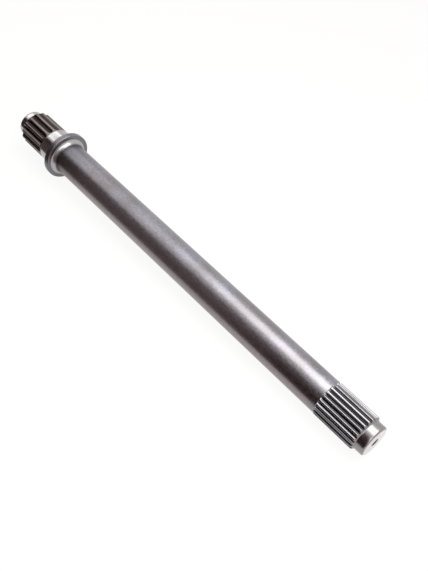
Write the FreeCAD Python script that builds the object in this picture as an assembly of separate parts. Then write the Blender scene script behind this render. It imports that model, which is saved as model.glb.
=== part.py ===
import FreeCAD, Part
import math
import os

# A transmission shaft turned from one bar and splined at both ends.
# Millimetres. The shaft lies along X, with +Z up. The origin is on its axis in the plane of the
# collar's shoulder, the face that a hub slid on from the coarse end stops against.
# +X points to the coarse spline, -X along the body to the fine spline.

# Body, the long plain stretch
body_diameter = 29.0
body_length = 322.5

# Collar, with a wide cove to the body on one side and the flat shoulder on the other
collar_height = 7.15
collar_width = 5.0
collar_edge_chamfer = 0.5
cove_radius = 4.3

# Seat, the ground cylinder past the shoulder, with a shallow relief at the shoulder where the
# grinding wheel runs out
seat_diameter = 32.0
seat_length = 13.8
relief_width = 2.0
relief_depth = 0.3

# Coarse spline, whose tips lie a little below the seat so that a bearing ring slides over them to
# the seat, and the pilot at its tip. The grooves end just short of the seat.
coarse_teeth = 14
coarse_tip_drop = 0.2
coarse_groove_to_seat = 0.8
coarse_spline_length = 33.4
coarse_tooth_end_length = 2.8
coarse_cutter_radius = 3.0
coarse_root_to_pilot = 1.6
coarse_pilot_length = 6.7
coarse_pilot_chamfer = 1.0

# Fine spline, whose teeth stand a little above the body, and the pilot at its end
fine_teeth = 22
fine_tooth_rise = 0.375
fine_spline_length = 37.5
fine_tooth_end_length = 1.7
fine_cutter_radius = 4.5
fine_groove_overrun = 0.3
fine_root_to_pilot = 0.775
fine_pilot_length = 7.8
fine_pilot_chamfer = 1.15

# Tooth form of both splines. The shift and the heights are in modules, and the heights are
# measured from the pitch circle.
pressure_angle = 30.0
profile_shift = 0.45
tip_above_pitch = 0.9
root_below_pitch = 0.1

# The coarse grooves are turned about the axis from the fine ones by this many degrees
coarse_grooves_turn = 10.0

# Centre holes that hold the shaft between centres while it is turned and ground
centre_mouth_diameter = 6.7
centre_bore_diameter = 3.15
centre_bore_depth = 7.0
centre_cone_angle = 60.0
drill_point_angle = 118.0

# How far the spline cutter's section stands clear of the metal it removes, and the number of
# spans that each involute flank is drawn with
cutter_clearance = 0.25
flank_steps = 4

# Radii and places that follow from the sizes above
body_radius = body_diameter / 2
seat_radius = seat_diameter / 2
collar_radius = body_radius + collar_height
coarse_tip_radius = seat_radius - coarse_tip_drop
fine_tip_radius = body_radius + fine_tooth_rise
cove = min(cove_radius, collar_height - 2 * collar_edge_chamfer)

collar_back = -collar_width
fine_teeth_start = collar_back - body_length
fine_pilot_start = fine_teeth_start - fine_spline_length
fine_face = fine_pilot_start - fine_pilot_length
coarse_pilot_start = seat_length + coarse_spline_length
coarse_face = coarse_pilot_start + coarse_pilot_length


def module_of(tip_radius, teeth):
    """Module of a spline whose teeth reach the tip radius."""
    return 2 * tip_radius / (teeth + 2 * tip_above_pitch)


def root_radius_of(tip_radius, teeth):
    """Radius of the floor of the grooves."""
    module = module_of(tip_radius, teeth)
    return module * (teeth / 2 - root_below_pitch)


coarse_root_radius = root_radius_of(coarse_tip_radius, coarse_teeth)
fine_root_radius = root_radius_of(fine_tip_radius, fine_teeth)
coarse_pilot_radius = coarse_root_radius - coarse_root_to_pilot
fine_pilot_radius = fine_root_radius - fine_root_to_pilot


def on_profile(along, radius):
    """A point of the turned profile, which lies in the plane of X and Z."""
    return FreeCAD.Vector(along, 0, radius)


def centre_hole(face, inward):
    """Profile points of a centre hole, from its drill point on the axis to its mouth in the face."""
    bore_radius = centre_bore_diameter / 2
    mouth_radius = centre_mouth_diameter / 2
    cone_depth = (mouth_radius - bore_radius) / math.tan(math.radians(centre_cone_angle / 2))
    point_depth = bore_radius / math.tan(math.radians(drill_point_angle / 2))
    return [
        on_profile(face + inward * (centre_bore_depth + point_depth), 0),
        on_profile(face + inward * centre_bore_depth, bore_radius),
        on_profile(face + inward * cone_depth, bore_radius),
        on_profile(face, mouth_radius),
    ]


def turned_blank():
    """The shaft as it leaves the lathe and the grinder, before its splines are cut."""
    fine_end = centre_hole(fine_face, 1) + [
        on_profile(fine_face, fine_pilot_radius - fine_pilot_chamfer),
        on_profile(fine_face + fine_pilot_chamfer, fine_pilot_radius),
        on_profile(fine_pilot_start, fine_pilot_radius),
        on_profile(fine_pilot_start + fine_tooth_end_length, fine_tip_radius),
        on_profile(fine_teeth_start - fine_tooth_rise, fine_tip_radius),
        on_profile(fine_teeth_start, body_radius),
        on_profile(collar_back - cove, body_radius),
    ]
    collar_end = [
        on_profile(collar_back, body_radius + cove),
        on_profile(collar_back, collar_radius - collar_edge_chamfer),
        on_profile(collar_back + collar_edge_chamfer, collar_radius),
        on_profile(-collar_edge_chamfer, collar_radius),
        on_profile(0, collar_radius - collar_edge_chamfer),
        on_profile(0, seat_radius - relief_depth),
        on_profile(relief_width, seat_radius - relief_depth),
        on_profile(relief_width + relief_depth, seat_radius),
        on_profile(seat_length, seat_radius),
        on_profile(seat_length + coarse_tip_drop, coarse_tip_radius),
        on_profile(coarse_pilot_start - coarse_tooth_end_length, coarse_tip_radius),
        on_profile(coarse_pilot_start, coarse_pilot_radius),
        on_profile(coarse_face - coarse_pilot_chamfer, coarse_pilot_radius),
        on_profile(coarse_face, coarse_pilot_radius - coarse_pilot_chamfer),
    ] + centre_hole(coarse_face, -1)[::-1]

    halfway = cove * math.sqrt(0.5)
    cove_middle = on_profile(collar_back - cove + halfway, body_radius + cove - halfway)
    edges = Part.makePolygon(fine_end).Edges
    edges.append(Part.Arc(fine_end[-1], cove_middle, collar_end[0]).toShape())
    edges += Part.makePolygon(collar_end + [fine_end[0]]).Edges

    half_section = Part.Face(Part.Wire(edges))
    return half_section.revolve(on_profile(0, 0), FreeCAD.Vector(1, 0, 0), 360)


def across(radius, angle):
    """A point of a groove's section, at an angle in radians from the groove's middle."""
    return FreeCAD.Vector(0, radius * math.sin(angle), radius * math.cos(angle))


def involute(angle):
    return math.tan(angle) - angle


def full_round_radius(root_radius, base_radius, start_angle):
    """Radius of the one arc that touches a groove's floor circle and both of its flanks."""
    low, high = 0, root_radius / 4
    while high - low > 1e-9:
        radius = (low + high) / 2
        flank_there = start_angle + involute(math.acos(base_radius / (root_radius + radius)))
        if radius / base_radius < flank_there:
            low = radius
        else:
            high = radius
    return low


def groove_section(tip_radius, teeth):
    """The gap between two involute teeth, in the plane of Y and Z, with its floor towards the axis."""
    module = module_of(tip_radius, teeth)
    root_radius = root_radius_of(tip_radius, teeth)
    top_radius = tip_radius + cutter_clearance
    pressure = math.radians(pressure_angle)
    pitch_radius = module * teeth / 2
    base_radius = pitch_radius * math.cos(pressure)
    tooth_on_pitch = module * (math.pi / 2 + 2 * profile_shift * math.tan(pressure))
    start_angle = math.pi / teeth - tooth_on_pitch / (2 * pitch_radius) - involute(pressure)

    def on_flank(radius, side):
        angle = start_angle + involute(math.acos(base_radius / radius))
        return across(radius, side * angle)

    round_radius = full_round_radius(root_radius, base_radius, start_angle)
    string_to_flank = math.sqrt((root_radius + round_radius) ** 2 - base_radius**2) - round_radius
    flank_start = math.hypot(base_radius, string_to_flank)

    edges = []
    for side in (-1, 1):
        flank_points = []
        for step in range(flank_steps + 1):
            radius = flank_start + (top_radius - flank_start) * step / flank_steps
            flank_points.append(on_flank(radius, side))
        flank = Part.BSplineCurve()
        flank.interpolate(flank_points)
        edges.append(flank.toShape())
    for end_radius, middle_radius in ((flank_start, root_radius), (top_radius, top_radius)):
        ends = on_flank(end_radius, -1), across(middle_radius, 0), on_flank(end_radius, 1)
        edges.append(Part.Arc(*ends).toShape())
    return Part.Face(Part.Wire(Part.__sortEdges__(edges)))


def groove_cutter(tip_radius, teeth, full_depth_from, open_end, cutter_radius):
    """One groove's cutter: full depth to the open end, and a floor that rises on the cutter's radius."""
    section = groove_section(tip_radius, teeth)
    section.translate(on_profile(full_depth_from, 0))
    straight = section.extrude(on_profile(open_end - full_depth_from, 0))
    cutter_axis = on_profile(full_depth_from, root_radius_of(tip_radius, teeth) + cutter_radius)
    outwards = math.copysign(90, open_end - full_depth_from)
    run_out = section.revolve(cutter_axis, FreeCAD.Vector(0, 1, 0), outwards)
    return straight.fuse(run_out)


def run_out_length(depth, cutter_radius):
    """How far along the shaft a round cutter takes to leave a groove of this depth."""
    return math.sqrt(cutter_radius**2 - (cutter_radius - depth) ** 2)


def around(cutter, teeth, first_turn):
    """The cutter repeated once for each groove around the axis."""
    cutters = []
    for index in range(teeth):
        copy = cutter.copy()
        copy.rotate(on_profile(0, 0), FreeCAD.Vector(1, 0, 0), first_turn + 360 * index / teeth)
        cutters.append(copy)
    return cutters


def coarse_grooves():
    """Grooves that stop a little way short of the ground seat."""
    depth = coarse_tip_radius - coarse_root_radius
    run_out_tip = seat_length + coarse_groove_to_seat
    full_depth_from = run_out_tip + run_out_length(depth, coarse_cutter_radius)
    open_end = coarse_pilot_start + cutter_clearance
    cutter = groove_cutter(coarse_tip_radius, coarse_teeth, full_depth_from, open_end, coarse_cutter_radius)
    return around(cutter, coarse_teeth, coarse_grooves_turn)


def fine_grooves():
    """Grooves that run a little way into the body, past the step up to the teeth."""
    depth = body_radius - fine_root_radius
    run_out_tip = fine_teeth_start + fine_groove_overrun
    full_depth_from = run_out_tip - run_out_length(depth, fine_cutter_radius)
    open_end = fine_pilot_start - cutter_clearance
    cutter = groove_cutter(fine_tip_radius, fine_teeth, full_depth_from, open_end, fine_cutter_radius)
    return around(cutter, fine_teeth, 0)


shaft = turned_blank().cut(coarse_grooves() + fine_grooves())
if not shaft.isValid() or len(shaft.Solids) != 1:
    raise ValueError("the shaft isn't one sound solid")

os.makedirs("parts", exist_ok=True)
shaft.Solids[0].exportStep("parts/splined_shaft.step")
print("length", round(shaft.BoundBox.XLength, 2), "volume", round(shaft.Volume))
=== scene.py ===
import math

import bmesh
import bpy
import numpy as np
from bpy.props import FloatProperty, FloatVectorProperty, IntProperty, PointerProperty
from mathutils import Matrix, Vector


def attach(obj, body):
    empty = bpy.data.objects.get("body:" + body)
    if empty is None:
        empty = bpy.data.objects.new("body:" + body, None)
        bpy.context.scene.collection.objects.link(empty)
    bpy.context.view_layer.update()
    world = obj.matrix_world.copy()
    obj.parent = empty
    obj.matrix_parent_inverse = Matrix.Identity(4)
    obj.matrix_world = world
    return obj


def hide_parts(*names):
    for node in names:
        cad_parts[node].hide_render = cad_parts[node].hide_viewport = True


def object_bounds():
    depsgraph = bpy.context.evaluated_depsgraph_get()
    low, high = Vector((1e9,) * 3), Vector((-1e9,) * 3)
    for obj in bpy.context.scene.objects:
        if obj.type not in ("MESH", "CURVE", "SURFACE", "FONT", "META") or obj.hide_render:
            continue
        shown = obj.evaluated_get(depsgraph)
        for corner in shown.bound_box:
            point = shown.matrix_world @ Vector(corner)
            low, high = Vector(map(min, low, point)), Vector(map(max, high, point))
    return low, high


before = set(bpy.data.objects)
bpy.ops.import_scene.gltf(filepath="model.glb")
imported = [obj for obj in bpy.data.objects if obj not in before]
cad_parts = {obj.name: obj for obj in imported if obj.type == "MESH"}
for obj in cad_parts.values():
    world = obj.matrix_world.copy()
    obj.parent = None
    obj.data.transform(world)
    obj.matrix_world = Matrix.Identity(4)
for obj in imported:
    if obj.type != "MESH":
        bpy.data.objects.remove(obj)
CAD_BOX = [list(corner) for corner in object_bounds()]

bl_info = {
    "name": "Splined Transmission Shaft",
    "version": (1, 0, 0),
    "blender": (4, 5, 0),
    "location": "View3D > Sidebar > Shaft",
    "description": "A one-piece transmission shaft with two splines, on a plain studio floor",
    "category": "Object",
}

# The CAD node that the finished mesh stands for
SHAFT_NODE = "splined_shaft"
MM = 0.001

# Order of the steel finishes on the mesh, and how far apart their stains lie
BLASTED, TURNED, ROLLED, COLLAR_SHADE, GROUND, FINE_CUT, COARSE_CUT, FACED, DRILLED = range(9)
STAIN_MM = 26


def srgb_to_linear(code):
    """A hex colour such as #8a8486, as linear red, green, blue and an alpha of 1."""
    parts = [int(code[i : i + 2], 16) / 255 for i in (1, 3, 5)]
    return [c / 12.92 if c <= 0.04045 else ((c + 0.055) / 1.055) ** 2.4 for c in parts] + [1.0]


def length_property(label, about, millimetres):
    return FloatProperty(name=label, description=about, default=millimetres * MM, unit="LENGTH",
                         min=0.0, precision=5)


def colour_property(label, about, code):
    return FloatVectorProperty(name=label, description=about, default=srgb_to_linear(code)[:3],
                               subtype="COLOR", size=3, min=0.0, max=1.0)


class ShaftSizes(bpy.types.PropertyGroup):
    """Sizes of the shaft, the same as those of the CAD solid that its mesh stands for."""

    body_diameter: length_property("Body diameter", "Long plain stretch", 29.0)
    body_length: length_property("Body length", "From the collar to the fine teeth", 322.5)
    collar_height: length_property("Collar height", "How far the collar stands above the body", 7.15)
    collar_width: length_property("Collar width", "Width of the collar's rim and edges", 5.0)
    collar_chamfer: length_property("Collar chamfer", "Edge chamfer of the collar", 0.5)
    cove_radius: length_property("Cove radius", "Hollow round from the body to the collar", 4.3)
    seat_diameter: length_property("Seat diameter", "Ground cylinder past the shoulder", 32.0)
    seat_length: length_property("Seat length", "From the shoulder to the coarse teeth", 13.8)
    relief_width: length_property("Relief width", "Grinding relief at the shoulder", 2.0)
    relief_depth: length_property("Relief depth", "Grinding relief at the shoulder", 0.3)
    coarse_teeth: IntProperty(name="Coarse teeth", description="Teeth beside the seat", default=14, min=6)
    coarse_tip_drop: length_property("Tip drop", "How far the coarse teeth lie below the seat", 0.2)
    coarse_runout_gap: length_property("Run-out gap", "Plain band between the seat and the grooves", 0.8)
    coarse_length: length_property("Coarse length", "From the seat to the pilot", 33.4)
    coarse_end: length_property("Coarse tooth end", "Length of the cone on the tooth ends", 2.8)
    coarse_cutter: length_property("Coarse cutter", "Radius that the groove floors rise on", 3.0)
    coarse_root_to_pilot: length_property("Root to coarse pilot", "Drop from groove floor to pilot", 1.6)
    coarse_pilot: length_property("Coarse pilot length", "Plain stub past the coarse teeth", 6.7)
    coarse_pilot_chamfer: length_property("Coarse pilot chamfer", "Edge chamfer", 1.0)
    fine_teeth: IntProperty(name="Fine teeth", description="Teeth at the other end", default=22, min=6)
    fine_tooth_rise: length_property("Tooth rise", "How far the fine teeth stand above the body", 0.375)
    fine_length: length_property("Fine length", "From the body to the pilot", 37.5)
    fine_end: length_property("Fine tooth end", "Length of the cone on the tooth ends", 1.7)
    fine_cutter: length_property("Fine cutter", "Radius that the groove floors rise on", 4.5)
    fine_overrun: length_property("Groove overrun", "How far the grooves run into the body", 0.3)
    fine_root_to_pilot: length_property("Root to fine pilot", "Drop from groove floor to pilot", 0.775)
    fine_pilot: length_property("Fine pilot length", "Plain stub past the fine teeth", 7.8)
    fine_pilot_chamfer: length_property("Fine pilot chamfer", "Edge chamfer", 1.15)
    centre_mouth: length_property("Centre mouth", "Mouth diameter of the centre holes", 6.7)
    centre_bore: length_property("Centre bore", "Bore diameter of the centre holes", 3.15)
    centre_depth: length_property("Centre depth", "Depth to the drill point", 7.0)
    pressure_angle: FloatProperty(name="Pressure angle", description="Of the involute teeth",
                                  default=math.radians(30), subtype="ANGLE")
    coarse_turn: FloatProperty(name="Coarse turn", description="Coarse grooves against the fine ones",
                               default=math.radians(10), subtype="ANGLE")
    edge_break: length_property("Edge break", "Rounding left on turned and cut edges", 0.15)
    fine_tip_rounding: length_property("Fine tip rounding", "Rounding along the fine teeth's tips", 0.17)
    column_fade: length_property("Column fade", "Where the mesh's columns spread out past the teeth", 4.0)


class ShaftColours(bpy.types.PropertyGroup):
    """Colours of the steel surfaces and of the studio."""

    blasted: colour_property("Blasted steel", "Body", "#918e96")
    turned: colour_property("Turned steel", "Fine pilot", "#959192")
    rolled: colour_property("Rolled steel", "Cove", "#aeabad")
    # The collar's colour is darkened as painted shade, for its dark reflection
    collar_shade: colour_property("Oiled steel", "Collar", "#79767a")
    ground: colour_property("Ground steel", "Seat and coarse pilot", "#b5b2b4")
    fine_cut: colour_property("Bright cut steel", "Teeth of the fine spline", "#979499")
    coarse_cut: colour_property("Dark cut steel", "Teeth of the coarse spline", "#7d7472")
    drilled: colour_property("Drilled steel", "Centre holes", "#6c6465")
    faced: colour_property("Faced steel", "End faces", "#e6e2e3")
    floor: colour_property("Floor", "Plain studio floor", "#f6efe8")


def add_node(tree, kind, place, settings=None, links=None):
    """Adds one shader node, sets its settings and input values, and links its inputs."""
    node = tree.nodes.new(kind)
    node.location = place
    for name, value in (settings or {}).items():
        if isinstance(name, str) and hasattr(node, name):
            setattr(node, name, value)
        else:
            node.inputs[name].default_value = value
    for name, source in (links or {}).items():
        tree.links.new(source, node.inputs[name])
    return node


def new_material(name):
    material = bpy.data.materials.new(name)
    material.use_nodes = True
    material.node_tree.nodes.clear()
    return material, material.node_tree


# The shape of the shaft

# Tooth form of both splines, in modules. The heights are measured from the pitch circle.
TIP_ABOVE_PITCH = 0.9
ROOT_BELOW_PITCH = 0.1
PROFILE_SHIFT = 0.45

# Half the angles of the centre holes' cones and of the drill points at their ends
CENTRE_CONE = math.radians(30)
DRILL_POINT = math.radians(59)

# A broken edge takes at most this share of the stretches beside it
WIDEST_BREAK = 0.3

# Share of the mesh's columns that lie in the grooves, and the least share of a groove's width that
# they span, also where there is no groove
GROOVE_COLUMNS = 0.72
NARROWEST_GROOVE = 0.12

# The rolled finish starts at this many cove radii before the cove's end at the collar
ROLLED_REACH = 0.85

# The share along X of the normal of a face, past which it lies on a tooth end's cone or on a flat end
CONE_LEAN = 0.6
FLAT_LEAN = 0.9

# Edges at which the surface turns by more than this stay sharp
SHARP_ANGLE = math.radians(32)


def module_of(tip_radius, teeth):
    """Module of a spline whose teeth reach the tip radius."""
    return 2 * tip_radius / (teeth + 2 * TIP_ABOVE_PITCH)


def root_radius_of(tip_radius, teeth):
    """Radius of the floor of the grooves."""
    return module_of(tip_radius, teeth) * (teeth / 2 - ROOT_BELOW_PITCH)


def involute(angle):
    return np.tan(angle) - angle


class Spline:
    """One spline's grooves: the section between two involute teeth, and how it runs out.

    The grooves are open towards outwards, 1 for +X and -1 for -X. At the other end their floors rise
    on the cutter's radius, and reach the surface of the radius left_radius at the place cut_to.
    """

    def __init__(self, teeth, tip_radius, pressure, cutter_radius, left_radius, cut_to, outwards,
                 turn, columns, edge):
        self.teeth, self.turn, self.edge = teeth, turn, edge
        self.cutter_radius, self.outwards = cutter_radius, outwards
        self.half_columns = columns // teeth // 2
        self.first_column = round(turn / (2 * math.pi) * columns)
        self.root = root_radius_of(tip_radius, teeth)
        self.rise = math.sqrt(cutter_radius**2 - (cutter_radius - left_radius + self.root) ** 2)
        self.full_from = cut_to + outwards * self.rise

        module = module_of(tip_radius, teeth)
        pitch = module * teeth / 2
        base = pitch * math.cos(pressure)
        tooth = module * (math.pi / 2 + 2 * PROFILE_SHIFT * math.tan(pressure))
        start = math.pi / teeth - tooth / (2 * pitch) - involute(pressure)

        # The round floor is the arc that touches the root circle and both flanks
        low, high = 0.0, self.root / 4
        for _ in range(50):
            radius = (low + high) / 2
            inside = radius / base < start + involute(math.acos(base / (self.root + radius)))
            low, high = (radius, high) if inside else (low, radius)
        centre = self.root + low
        flank_from = math.hypot(base, math.sqrt(centre**2 - base**2) - low)

        # The half section, from the middle of the floor up the flank and a little past the tip, as
        # sideways and height
        radii = np.linspace(flank_from, tip_radius * 1.03, 40)
        angles = start + involute(np.arccos(base / radii))
        swing = np.linspace(0, math.asin(radii[0] * math.sin(angles[0]) / low), 24)[:-1]
        self.sideways = np.concatenate([low * np.sin(swing), radii * np.sin(angles)])
        self.height = np.concatenate([centre - low * np.cos(swing), radii * np.cos(angles)])

    def surface(self, along):
        """Sideways, height and radius of the half section at a place along the shaft."""
        past = max(0.0, (self.full_from - along) * self.outwards)
        axis = self.root + self.cutter_radius
        room = (axis - self.height) ** 2 - past**2
        height = axis - np.sqrt(np.clip(room, 0, None))
        sideways, height = self.sideways[room > 0], height[room > 0]
        return sideways, height, np.hypot(sideways, height)

    def row(self, along, blank):
        """Angle and radius of each column of half a tooth, from the groove's middle to the tooth's.

        Blank is the radius of the turned blank there.
        """
        edge = self.edge
        inner = round(self.half_columns * GROOVE_COLUMNS)
        keep = NARROWEST_GROOVE * self.sideways[-1]
        sideways, height, radius = self.surface(along)
        columns = []
        if len(radius) and radius[0] < blank - edge:
            reach = max(keep, float(np.interp(blank - edge, radius, sideways)))
            corner = float(np.interp(blank, radius, np.arctan2(sideways, height))) + edge / blank
            for index in range(inner + 1):
                across = reach * index / inner
                up = float(np.interp(across, sideways, height))
                columns.append((math.atan2(across, up), min(math.hypot(across, up), blank)))
            corner = max(corner, columns[-1][0] + edge / blank)
        else:
            for index in range(inner + 1):
                columns.append((keep / blank * index / inner, blank))
            corner = columns[-1][0] + edge / blank
        left = self.half_columns - inner - 1
        for index in range(left + 1):
            columns.append((corner + (math.pi / self.teeth - corner) * index / left, blank))
        return columns

    def place(self, column, column_angle, row, evenness):
        """Angle and radius of a column: crowded at the flanks in the cut, even further along."""
        tooth = round((column - self.first_column) / (2 * self.half_columns))
        offset = column - self.first_column - tooth * 2 * self.half_columns
        angle, radius = row[abs(offset)]
        cut = tooth * 2 * math.pi / self.teeth + math.copysign(angle, offset) + self.turn
        return cut + (column * column_angle - cut) * evenness, radius


class Plan:
    """Radii of the shaft and places along it, which follow from its sizes."""

    def __init__(self, s):
        self.body_radius, self.seat_radius = s.body_diameter / 2, s.seat_diameter / 2
        self.collar_radius = min(self.body_radius + s.collar_height, CAD_BOX[1][1])
        self.fine_tip_radius = self.body_radius + s.fine_tooth_rise
        self.coarse_tip_radius = self.seat_radius - s.coarse_tip_drop
        fine_root = root_radius_of(self.fine_tip_radius, s.fine_teeth)
        coarse_root = root_radius_of(self.coarse_tip_radius, s.coarse_teeth)
        self.fine_pilot_radius = fine_root - s.fine_root_to_pilot
        self.coarse_pilot_radius = coarse_root - s.coarse_root_to_pilot

        self.collar_back = -s.collar_width
        self.fine_start = self.collar_back - s.body_length
        self.fine_cut_to = self.fine_start + s.fine_overrun
        self.fine_stop = self.fine_start - s.fine_length
        self.fine_face = self.fine_stop - s.fine_pilot
        self.coarse_cut_to = s.seat_length + s.coarse_runout_gap
        self.coarse_stop = s.seat_length + s.coarse_length
        self.coarse_face = self.coarse_stop + s.coarse_pilot


def rounded_corners(points, size):
    """Replaces each inner corner of a turned profile by two points, one on either side of it."""
    result = [points[0]]
    for before, corner, after in zip(points, points[1:], points[2:]):
        for neighbour in (before, after):
            away = (neighbour[0] - corner[0], neighbour[1] - corner[1])
            reach = math.hypot(*away)
            share = min(size, WIDEST_BREAK * reach) / reach
            result.append((corner[0] + away[0] * share, corner[1] + away[1] * share))
    return result + [points[-1]]


def centre_hole(s, face, inward):
    """Profile points of a centre hole, from its drill point on the axis to its mouth in the face."""
    bore, mouth = s.centre_bore / 2, s.centre_mouth / 2
    cone = (mouth - bore) / math.tan(CENTRE_CONE)
    point = bore / math.tan(DRILL_POINT)
    return [(face + inward * (s.centre_depth + point), 0.0),
            (face + inward * s.centre_depth, bore),
            (face + inward * cone, bore), (face, mouth)]


def turned_profile(s, plan):
    """The turned profile from end to end, as places along the shaft and radii."""
    back, body, collar, seat = plan.collar_back, plan.body_radius, plan.collar_radius, plan.seat_radius
    fine_tip, fine_pilot = plan.fine_tip_radius, plan.fine_pilot_radius
    coarse_tip, coarse_pilot = plan.coarse_tip_radius, plan.coarse_pilot_radius
    cove = [(back - s.cove_radius * (1 - math.sin(turn)), body + s.cove_radius * (1 - math.cos(turn)))
            for turn in np.linspace(0, math.pi / 2, 9)]
    points = centre_hole(s, plan.fine_face, 1) + [
        (plan.fine_face, fine_pilot - s.fine_pilot_chamfer),
        (plan.fine_face + s.fine_pilot_chamfer, fine_pilot),
        (plan.fine_stop, fine_pilot),
        (plan.fine_stop + s.fine_end, fine_tip),
        (plan.fine_start - s.fine_tooth_rise, fine_tip),
        (plan.fine_start, body),
    ] + cove + [
        (back, collar - s.collar_chamfer),
        (back + s.collar_chamfer, collar),
        (-s.collar_chamfer, collar),
        (0.0, collar - s.collar_chamfer),
        (0.0, seat - s.relief_depth),
        (s.relief_width, seat - s.relief_depth),
        (s.relief_width + s.relief_depth, seat),
        (s.seat_length, seat),
        (s.seat_length + s.coarse_tip_drop, coarse_tip),
        (plan.coarse_stop - s.coarse_end, coarse_tip),
        (plan.coarse_stop, coarse_pilot),
        (plan.coarse_face - s.coarse_pilot_chamfer, coarse_pilot),
        (plan.coarse_face, coarse_pilot - s.coarse_pilot_chamfer),
    ] + centre_hole(s, plan.coarse_face, -1)[::-1]
    return rounded_corners(points, s.edge_break)


def stations(s, plan, splines):
    """Places where the mesh needs points: the run-outs, the tooth ends and where its columns spread."""
    places = []
    for spline in splines:
        for turn in np.linspace(0, math.pi / 2, 11):
            places.append(spline.full_from - spline.outwards * spline.rise * math.sin(turn))
    for start, length in ((plan.fine_stop, s.fine_end), (plan.coarse_stop - s.coarse_end, s.coarse_end)):
        places += [start + length * share for share in np.linspace(0, 1, 9)]
    for fade in np.linspace(0, s.column_fade, 5):
        places += [plan.fine_stop - fade, plan.fine_cut_to + fade,
                   plan.coarse_cut_to - fade, plan.coarse_stop + fade]
    return places


def with_more_stations(profile, places):
    """Adds profile points at the given places along the shaft, on the stretch that spans each."""
    clear = 0.02 * MM
    result = [profile[0]]
    for before, after in zip(profile, profile[1:]):
        inside = [place for place in places if before[0] + clear < place < after[0] - clear]
        for place in sorted(inside):
            share = (place - before[0]) / (after[0] - before[0])
            result.append((place, before[1] + (after[1] - before[1]) * share))
        result.append(after)
    return result


def turned_blank(profile, columns):
    """The profile spun into a mesh, in which each vertex knows its place in the profile."""
    bm = bmesh.new()
    row_layer = bm.verts.layers.int.new("row")
    verts = []
    for row, (along, radius) in enumerate(profile):
        vert = bm.verts.new((along, 0, radius))
        vert[row_layer] = row
        verts.append(vert)
    edges = [bm.edges.new(pair) for pair in zip(verts, verts[1:])]
    bmesh.ops.spin(bm, geom=verts + edges, cent=(0, 0, 0), axis=(1, 0, 0), angle=2 * math.pi,
                   steps=columns, use_merge=True, use_duplicate=False)
    return bm


def cut_teeth(bm, s, plan, profile, columns, fine, coarse):
    """Moves each vertex to its column's place on a tooth or in a groove."""
    column_angle = 2 * math.pi / columns
    rows = []
    for along, radius in profile:
        spline = fine if along < plan.fine_start / 2 else coarse
        between = min(along - plan.fine_cut_to, plan.coarse_cut_to - along)
        past_cut = max(plan.fine_stop - along, between, along - plan.coarse_stop)
        evenness = min(1.0, max(0.0, past_cut / s.column_fade))
        rows.append((spline, spline.row(along, max(radius, s.edge_break)), evenness))
    row_layer = bm.verts.layers.int["row"]
    for vert in bm.verts:
        if vert.co.yz.length < s.edge_break:
            continue
        spline, row, evenness = rows[vert[row_layer]]
        column = round(math.atan2(vert.co.y, vert.co.z) / column_angle)
        turn, radius = spline.place(column, column_angle, row, evenness)
        vert.co.y = radius * math.sin(turn)
        vert.co.z = radius * math.cos(turn)


def give_finishes(bm, s, plan):
    """Gives each face the number of the finish on its stretch of the shaft."""
    cove_end = plan.collar_back - s.edge_break
    rolled_from = cove_end - ROLLED_REACH * s.cove_radius
    for face in bm.faces:
        centre = face.calc_center_median()
        across = math.hypot(centre.y, centre.z)
        lengthwise = abs(face.normal.x)
        past_cones = not plan.fine_stop + s.fine_end < centre.x < plan.coarse_stop - s.coarse_end
        past_teeth = not plan.fine_stop < centre.x < plan.coarse_stop
        if past_teeth or (past_cones and lengthwise > CONE_LEAN):
            pilot = TURNED if centre.x < 0 else GROUND
            hole = across < s.centre_mouth / 2
            face.material_index = DRILLED if hole else FACED if lengthwise > FLAT_LEAN else pilot
        elif centre.x < plan.fine_cut_to:
            face.material_index = FINE_CUT
        elif centre.x < cove_end:
            face.material_index = BLASTED if centre.x < rolled_from else ROLLED
        elif centre.x < 0 or across > plan.seat_radius:
            face.material_index = COLLAR_SHADE
        else:
            face.material_index = GROUND if centre.x < s.seat_length else COARSE_CUT


def build_shaft(context):
    s = context.scene.shaft_sizes
    plan = Plan(s)

    # Every tooth of either spline gets a whole, even number of columns
    columns = 2 * s.coarse_teeth * s.fine_teeth
    fine = Spline(s.fine_teeth, plan.fine_tip_radius, s.pressure_angle, s.fine_cutter, plan.body_radius,
                  plan.fine_cut_to, -1, 0.0, columns, s.fine_tip_rounding)
    coarse = Spline(s.coarse_teeth, plan.coarse_tip_radius, s.pressure_angle, s.coarse_cutter,
                    plan.coarse_tip_radius, plan.coarse_cut_to, 1, -s.coarse_turn, columns, s.edge_break)
    profile = with_more_stations(turned_profile(s, plan), stations(s, plan, (fine, coarse)))

    bm = turned_blank(profile, columns)
    cut_teeth(bm, s, plan, profile, columns, fine, coarse)
    bmesh.ops.remove_doubles(bm, verts=bm.verts, dist=1e-7)
    bmesh.ops.recalc_face_normals(bm, faces=bm.faces)
    give_finishes(bm, s, plan)
    mesh = bpy.data.meshes.new("finished_shaft")
    bm.to_mesh(mesh)
    bm.free()
    mesh.attributes.remove(mesh.attributes["row"])
    mesh.shade_smooth()
    mesh.set_sharp_from_angle(angle=SHARP_ANGLE)

    shaft = bpy.data.objects.new("finished_shaft", mesh)
    context.scene.collection.objects.link(shaft)
    weighted = shaft.modifiers.new("Flat faces stay flat", "WEIGHTED_NORMAL")
    weighted.weight = 100
    weighted.keep_sharp = True
    return shaft


# The finishes of the steel

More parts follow.
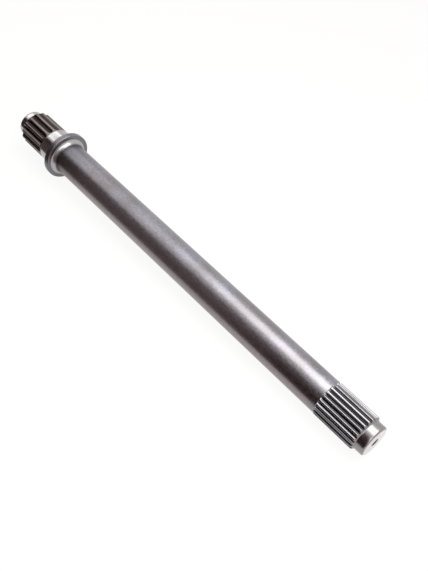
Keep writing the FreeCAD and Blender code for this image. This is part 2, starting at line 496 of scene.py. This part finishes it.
def steel(name, colour, roughness, tint, grain_mm=0.8, grain_depth_mm=0.02, speckle=0.04, feed_mm=None,
          groove_shade=None, darkened_stretch=None, side_tint=None):
    """A bare steel finish: metallic, with a fine grain, slow staining and, where turned, feed marks.

    The grain and the feed marks are drawn several times coarser than they are, so that a picture of
    the whole shaft shows them.

    Tint is the colour of the stains. Speckle is how far the grain darkens and lightens the steel.
    The grooves' painted shade is a colour on their floors, and the radii in mm where it starts to
    thin out and where the steel is unshaded. The darkened stretch is where along the shaft, in mm,
    the steel darkens, and what is left at its end. Side tint is the colour that the side towards +Y
    turns.
    """
    material, tree = new_material(name)
    place = add_node(tree, "ShaderNodeTexCoord", (-1200, 0)).outputs["Object"]
    grain = add_node(tree, "ShaderNodeTexNoise", (-900, -200),
                     {"Scale": 1 / (grain_mm * MM), "Detail": 3.0, "Roughness": 0.6}, {"Vector": place})

    # Stains, each a few centimetres across
    stain = add_node(tree, "ShaderNodeTexNoise", (-900, 200),
                     {"Scale": 1 / (STAIN_MM * MM), "Detail": 2.0, "Roughness": 0.5}, {"Vector": place})
    spread = add_node(tree, "ShaderNodeMapRange", (-700, 350),
                      {"From Min": 0.4, "From Max": 0.64, "To Min": 0.0, "To Max": 0.6},
                      {"Value": stain.outputs["Fac"]})
    shade = add_node(tree, "ShaderNodeMix", (-500, 250),
                     {"data_type": "RGBA", 6: list(colour) + [1.0], 7: srgb_to_linear(tint)},
                     {0: spread.outputs["Result"]}).outputs[2]
    fleck = add_node(tree, "ShaderNodeMapRange", (-500, 450),
                     {"From Min": 0.35, "From Max": 0.65, "To Min": 1 - speckle, "To Max": 1 + speckle},
                     {"Value": grain.outputs["Fac"]}).outputs["Result"]

    if darkened_stretch or side_tint:
        axes = add_node(tree, "ShaderNodeSeparateXYZ", (-900, 800), None, {"Vector": place})
    # Darker along a stretch of the shaft, by the place along X
    if darkened_stretch:
        start, end, left = darkened_stretch
        darkening = add_node(tree, "ShaderNodeMapRange", (-700, 800),
                       {"From Min": start * MM, "From Max": end * MM, "To Min": 1.0, "To Max": left},
                       {"Value": axes.outputs["X"]})
        fleck = add_node(tree, "ShaderNodeMath", (-500, 750), {"operation": "MULTIPLY"},
                         {0: fleck, 1: darkening.outputs["Result"]}).outputs[0]
    if side_tint:
        side = add_node(tree, "ShaderNodeMapRange", (-700, 1050), {"From Min": 6 * MM, "From Max": 14 * MM},
                        {"Value": axes.outputs["Y"]})
        shade = add_node(tree, "ShaderNodeMix", (-500, 1000),
                         {"data_type": "RGBA", 7: srgb_to_linear(side_tint)},
                         {0: side.outputs["Result"], 6: shade}).outputs[2]
    skin = add_node(tree, "ShaderNodeMix", (-350, 250),
                    {"data_type": "RGBA", "blend_type": "MULTIPLY", "clamp_factor": True, 0: 1.0},
                    {6: shade, 7: fleck}).outputs[2]

    # Painted shade in the grooves: darker towards their floors, by the radius from the axis
    if groove_shade:
        groove_shade_colour, floor_radius, unshaded_radius = groove_shade
        flat = add_node(tree, "ShaderNodeVectorMath", (-900, 600), {"operation": "MULTIPLY", 1: (0, 1, 1)},
                        {0: place})
        radius = add_node(tree, "ShaderNodeVectorMath", (-700, 600), {"operation": "LENGTH"},
                          {0: flat.outputs["Vector"]})
        unshaded = add_node(tree, "ShaderNodeMapRange", (-500, 600),
                         {"From Min": floor_radius * MM, "From Max": unshaded_radius * MM},
                         {"Value": radius.outputs["Value"]})
        skin = add_node(tree, "ShaderNodeMix", (-300, 400),
                        {"data_type": "RGBA", 6: srgb_to_linear(groove_shade_colour)},
                        {0: unshaded.outputs["Result"], 7: skin}).outputs[2]

    rough = add_node(tree, "ShaderNodeMapRange", (-500, -50),
                     {"From Min": 0.3, "From Max": 0.7,
                      "To Min": roughness - 0.05, "To Max": roughness + 0.06},
                     {"Value": grain.outputs["Fac"]})
    normal = add_node(tree, "ShaderNodeBump", (-500, -350),
                      {"Strength": 0.35, "Distance": grain_depth_mm * MM},
                      {"Height": grain.outputs["Fac"]}).outputs["Normal"]
    if feed_mm:
        marks = add_node(tree, "ShaderNodeTexWave", (-900, -600),
                         {"wave_type": "BANDS", "bands_direction": "X",
                          "Scale": math.pi / (10 * feed_mm * MM),
                          "Distortion": 1.5, "Detail": 2.0, "Detail Scale": 2.0}, {"Vector": place})
        normal = add_node(tree, "ShaderNodeBump", (-300, -500),
                          {"Strength": 0.25, "Distance": 0.01 * MM},
                          {"Height": marks.outputs["Fac"], "Normal": normal}).outputs["Normal"]
    shader = add_node(tree, "ShaderNodeBsdfPrincipled", (-100, 0), {"Metallic": 1.0},
                      {"Base Color": skin, "Roughness": rough.outputs["Result"], "Normal": normal})
    add_node(tree, "ShaderNodeOutputMaterial", (200, 0), None, {"Surface": shader.outputs["BSDF"]})
    return material


def shaft_materials(colours):
    finishes = [None] * 9
    # Alloy steel, shot-blasted: a dull grey satin with a fine sparkle and brownish patches. The
    # dimples are drawn about three times their real size, so that a picture of the whole shows them.
    # The last 40 mm beside the collar are darker, and one side is browner.
    finishes[BLASTED] = steel("shot_blasted_steel", colours.blasted, 0.34, "#7e7878", grain_mm=1.4,
                              grain_depth_mm=0.05, speckle=0.15, darkened_stretch=(-52, -13, 0.6),
                              side_tint="#8e8587")
    # Alloy steel, rolled: the smooth light cove, pressed to make the shaft last. The body's darkening
    # fades out over the cove's first 2 mm.
    finishes[ROLLED] = steel("rolled_steel", colours.rolled, 0.3, "#979294", feed_mm=2.2,
                             darkened_stretch=(-6.6, -8.8, 0.42))
    # Alloy steel, turned: as dark as the body, with fine rings that make it gleam a little
    finishes[TURNED] = steel("turned_steel", colours.turned, 0.28, "#8a8382", feed_mm=2.2)
    # Alloy steel, turned: darkened by painted shade, darker than what lies on either side of it
    finishes[COLLAR_SHADE] = steel("turned_steel_painted_shade", colours.collar_shade, 0.34, "#6f6768", feed_mm=2.2)
    # Alloy steel, cylindrically ground: the smoothest and brightest stretch
    finishes[GROUND] = steel("ground_steel", colours.ground, 0.18, "#a8a3a3", grain_mm=0.7,
                             grain_depth_mm=0.008, feed_mm=1.6)
    # Alloy steel, hobbed: crisp light teeth, with painted shade that darkens the grooves
    finishes[FINE_CUT] = steel("hobbed_steel", colours.fine_cut, 0.27, "#7a777b",
                               groove_shade=("#1b191c", 13.6, 14.5))
    # Alloy steel, hobbed and then hardened; painted shade leaves it nearly black in the grooves
    finishes[COARSE_CUT] = steel("hobbed_hardened_steel", colours.coarse_cut, 0.34, "#625957",
                                 groove_shade=("#2c2624", 13.9, 15.65))
    # Alloy steel, faced bright: pale and matt, and paler than bare steel by painted light, so that the end
    # face stands out
    finishes[FACED] = steel("faced_bright_steel", colours.faced, 0.5, "#d0cbcb")
    # Alloy steel, drilled: darkened by painted shade, so that the centre holes look deep
    finishes[DRILLED] = steel("drilled_steel_painted_shade", colours.drilled, 0.34, "#504847")
    return finishes


class SHAFT_OT_shaft(bpy.types.Operator):
    """Turn the shaft, cut its two splines and give it its steel finishes"""

    bl_idname = "shaft.shaft"
    bl_label = "Shaft"

    def execute(self, context):
        shaft = build_shaft(context)
        for material in shaft_materials(context.scene.shaft_colours):
            shaft.data.materials.append(material)
        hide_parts(SHAFT_NODE)
        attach(shaft, "root")
        return {"FINISHED"}


# The studio. Places and lengths are in metres, in the frame of the shaft.

FLOOR_WIDTH = 8.0

# Share of the floor that is lifted to pure white where it is seen
FLOOR_LIFT = 0.91

# Strength of the white surroundings, for the light that they give and where they are seen
WORLD_LIGHT = 0.5
WORLD_SEEN = 1.0

# Name, place, the point it is aimed at, width, depth and power in watts of each softbox
SOFTBOXES = (
    ("overhead_softbox", (-0.36, -0.13, 0.7), (-0.36, -0.13, 0.0), 0.98, 0.58, 6.6),
    ("far_strip_softbox", (0.73, -0.11, 0.7), (0.34, -0.11, 0.0), 0.89, 0.14, 0.8),
    ("side_softbox", (-0.78, 0.46, 0.5), (-0.2, 0.0, 0.0), 0.55, 0.55, 2.8),
)
SOFTBOX_COLOUR = "#fafcf9"

# The dark card: the middles of its lower and upper edge, its width, and its turn towards the fine end
CARD_FOOT = Vector((0.39, 0.041, -0.021))
CARD_TOP = Vector((0.39, 0.69, 0.94))
CARD_WIDTH = 1.62
CARD_TURN = math.radians(1)

# The camera was solved from the photograph's outlines. It stands near the fine end, above the +Y
# side. Its turn is in degrees.
CAMERA_PLACE = (-0.47125, 0.34251, 0.42982)
CAMERA_TURN = (44.9332, -10.0506, -131.9776)
CAMERA_LENS_MM = 49.09


def seen_not_lit(tree, place):
    """1 for camera, glossy and transmission rays, 0 for the rays that only carry light."""
    path = add_node(tree, "ShaderNodeLightPath", place)
    total = add_node(tree, "ShaderNodeMath", (place[0] + 200, place[1]), {"operation": "MAXIMUM"},
                     {0: path.outputs["Is Camera Ray"], 1: path.outputs["Is Glossy Ray"]})
    return add_node(tree, "ShaderNodeMath", (place[0] + 400, place[1]), {"operation": "MAXIMUM"},
                    {0: total.outputs[0], 1: path.outputs["Is Transmission Ray"]}).outputs[0]


def floor_material(colour):
    # White card: matt, and mostly lifted to pure white where it is seen, so that only a faint
    # shadow of the shaft is left on it
    material, tree = new_material("matt_white_card")
    seen = seen_not_lit(tree, (-900, -200))
    lift = add_node(tree, "ShaderNodeMath", (-300, -200), {"operation": "MULTIPLY", 1: FLOOR_LIFT},
                    {0: seen})
    card = add_node(tree, "ShaderNodeBsdfDiffuse", (-100, 100), {"Color": list(colour) + [1.0]})
    white = add_node(tree, "ShaderNodeEmission", (-100, -100),
                     {"Color": srgb_to_linear("#ffffff"), "Strength": 1.0})
    both = add_node(tree, "ShaderNodeMixShader", (100, 0), None,
                    {0: lift.outputs[0], 1: card.outputs[0], 2: white.outputs[0]})
    add_node(tree, "ShaderNodeOutputMaterial", (300, 0), None, {"Surface": both.outputs[0]})
    return material


def dark_card_material():
    # Dark brown flocked card, paler along the middle of the shaft: it takes light away from one
    # side of the steel, which turns brown there
    material, tree = new_material("dark_brown_flocked_card")
    place = add_node(tree, "ShaderNodeTexCoord", (-800, 0)).outputs["Object"]
    along = add_node(tree, "ShaderNodeSeparateXYZ", (-600, 0), None, {"Vector": place})
    share = add_node(tree, "ShaderNodeMapRange", (-450, 0), {"From Min": -0.3, "From Max": 0.1},
                     {"Value": along.outputs["X"]})
    shade = add_node(tree, "ShaderNodeValToRGB", (-280, 0), None, {"Fac": share.outputs["Result"]})
    stops = shade.color_ramp.elements
    stops[0].color = srgb_to_linear("#352522")
    stops[1].color = srgb_to_linear("#463530")
    for position in (0.24, 0.7):
        stops.new(position).color = srgb_to_linear("#6f6567")
    card = add_node(tree, "ShaderNodeBsdfDiffuse", (0, 0), None, {"Color": shade.outputs["Color"]})
    add_node(tree, "ShaderNodeOutputMaterial", (200, 0), None, {"Surface": card.outputs[0]})
    return material


def flat_panel(context, name, width, depth, matrix, material):
    bm = bmesh.new()
    bmesh.ops.create_grid(bm, x_segments=1, y_segments=1, size=0.5)
    bmesh.ops.scale(bm, vec=(width, depth, 1), verts=bm.verts)
    bmesh.ops.transform(bm, matrix=matrix, verts=bm.verts)
    mesh = bpy.data.meshes.new(name)
    bm.to_mesh(mesh)
    bm.free()
    mesh.materials.append(material)
    panel = bpy.data.objects.new(name, mesh)
    context.scene.collection.objects.link(panel)
    return panel


def lay_floor(context):
    """The shaft lies on its collar and on the tips of its fine teeth, so the floor leans to it."""
    s = context.scene.shaft_sizes
    collar = s.body_diameter / 2 + s.collar_height
    tips = s.body_diameter / 2 + s.fine_tooth_rise
    lean = math.atan2(collar - tips, s.body_length + s.fine_length)
    matrix = Matrix.Translation((-s.collar_width, 0, -collar)) @ Matrix.Rotation(lean, 4, "Y")
    flat_panel(context, "floor", FLOOR_WIDTH, FLOOR_WIDTH, matrix,
               floor_material(context.scene.shaft_colours.floor))


def hang_softbox(context, name, place, target, width, depth, power):
    light = bpy.data.lights.new(name, "AREA")
    light.shape = "RECTANGLE"
    light.size, light.size_y = width, depth
    light.energy = power
    light.color = srgb_to_linear(SOFTBOX_COLOUR)[:3]
    lamp = bpy.data.objects.new(name, light)
    lamp.location = place
    lamp.rotation_euler = (Vector(target) - Vector(place)).to_track_quat("-Z", "Y").to_euler()
    context.scene.collection.objects.link(lamp)


def stand_dark_card(context):
    """The card leans outwards along the side where the camera stands, and only reflections show it."""
    slope = math.atan2(CARD_TOP.z - CARD_FOOT.z, CARD_TOP.y - CARD_FOOT.y)
    stand = Matrix.Translation((CARD_FOOT + CARD_TOP) / 2) @ Matrix.Rotation(slope, 4, "X")
    card = flat_panel(context, "dark_card", CARD_WIDTH, (CARD_TOP - CARD_FOOT).length,
                      Matrix.Rotation(CARD_TURN, 4, "Z") @ stand, dark_card_material())
    card.visible_camera = card.visible_diffuse = card.visible_shadow = False
    card.visible_transmission = False


def set_surroundings(scene):
    world = bpy.data.worlds.new("studio")
    world.use_nodes = True
    tree = world.node_tree
    tree.nodes.clear()
    seen = seen_not_lit(tree, (-800, 0))
    strength = add_node(tree, "ShaderNodeMapRange", (-200, 0), {"To Min": WORLD_LIGHT, "To Max": WORLD_SEEN},
                        {"Value": seen})
    sky = add_node(tree, "ShaderNodeBackground", (0, 0), {"Color": srgb_to_linear("#ffffff")},
                   {"Strength": strength.outputs["Result"]})
    add_node(tree, "ShaderNodeOutputWorld", (200, 0), None, {"Surface": sky.outputs[0]})
    scene.world = world
    scene.view_settings.view_transform = "Standard"


def set_camera(scene):
    lens = bpy.data.cameras.new("camera")
    lens.lens = CAMERA_LENS_MM
    lens.sensor_width = 36.0
    lens.clip_start = 0.01
    camera = bpy.data.objects.new("camera", lens)
    camera.location = CAMERA_PLACE
    camera.rotation_euler = [math.radians(turn) for turn in CAMERA_TURN]
    scene.collection.objects.link(camera)
    scene.camera = camera


class SHAFT_OT_stage(bpy.types.Operator):
    """Lay the pale floor, hang the softboxes, stand the dark card and set the camera"""

    bl_idname = "shaft.stage"
    bl_label = "Stage"

    def execute(self, context):
        lay_floor(context)
        for softbox in SOFTBOXES:
            hang_softbox(context, *softbox)
        stand_dark_card(context)
        set_surroundings(context.scene)
        set_camera(context.scene)
        return {"FINISHED"}


class SHAFT_PT_panel(bpy.types.Panel):
    """The shaft's operators and settings"""

    bl_idname = "SHAFT_PT_panel"
    bl_label = "Transmission shaft"
    bl_space_type = "VIEW_3D"
    bl_region_type = "UI"
    bl_category = "Shaft"

    def draw(self, context):
        for operator in OPERATORS:
            self.layout.operator(operator.bl_idname)
        for group in (context.scene.shaft_sizes, context.scene.shaft_colours):
            for name in group.__annotations__:
                self.layout.prop(group, name)


OPERATORS = (SHAFT_OT_shaft, SHAFT_OT_stage)
CLASSES = (ShaftSizes, ShaftColours) + OPERATORS + (SHAFT_PT_panel,)


def register():
    for cls in CLASSES:
        bpy.utils.register_class(cls)
    bpy.types.Scene.shaft_sizes = PointerProperty(type=ShaftSizes)
    bpy.types.Scene.shaft_colours = PointerProperty(type=ShaftColours)


def unregister():
    del bpy.types.Scene.shaft_colours
    del bpy.types.Scene.shaft_sizes
    for cls in reversed(CLASSES):
        bpy.utils.unregister_class(cls)


def main():
    register()
    bpy.ops.shaft.shaft()
    bpy.ops.shaft.stage()


if __name__ == "__main__":
    main()
